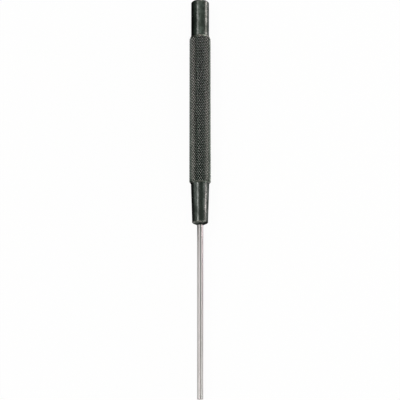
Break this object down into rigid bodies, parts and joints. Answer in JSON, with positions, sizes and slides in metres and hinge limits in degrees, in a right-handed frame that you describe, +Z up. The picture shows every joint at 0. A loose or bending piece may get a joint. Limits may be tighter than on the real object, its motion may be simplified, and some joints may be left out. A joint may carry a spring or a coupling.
{
  "type": "pin punch",
  "caption": "Long pin punch with a diamond-knurled, blackened steel body, a chamfered striking head, a tapered nose and a slender bright steel drive pin.",
  "frame": {"origin": "on the bench below the middle of the punch's length, as it lies on its knurled grip", "axes": "+Y along the punch's axis from the tip to the striking head, +Z up, +X across"},
  "size_m": [0.0108, 0.2, 0.0108],
  "materials": {
    "black_oxide_steel": "black oxide, semi-gloss on the turned head and nose, dull on the knurl",
    "bright_ground_steel": "ground bright, uncoated"
  },
  "bodies": {
    "root": {"knurled_body": "black_oxide_steel", "drive_pin": "bright_ground_steel"}
  },
  "joints": []
}
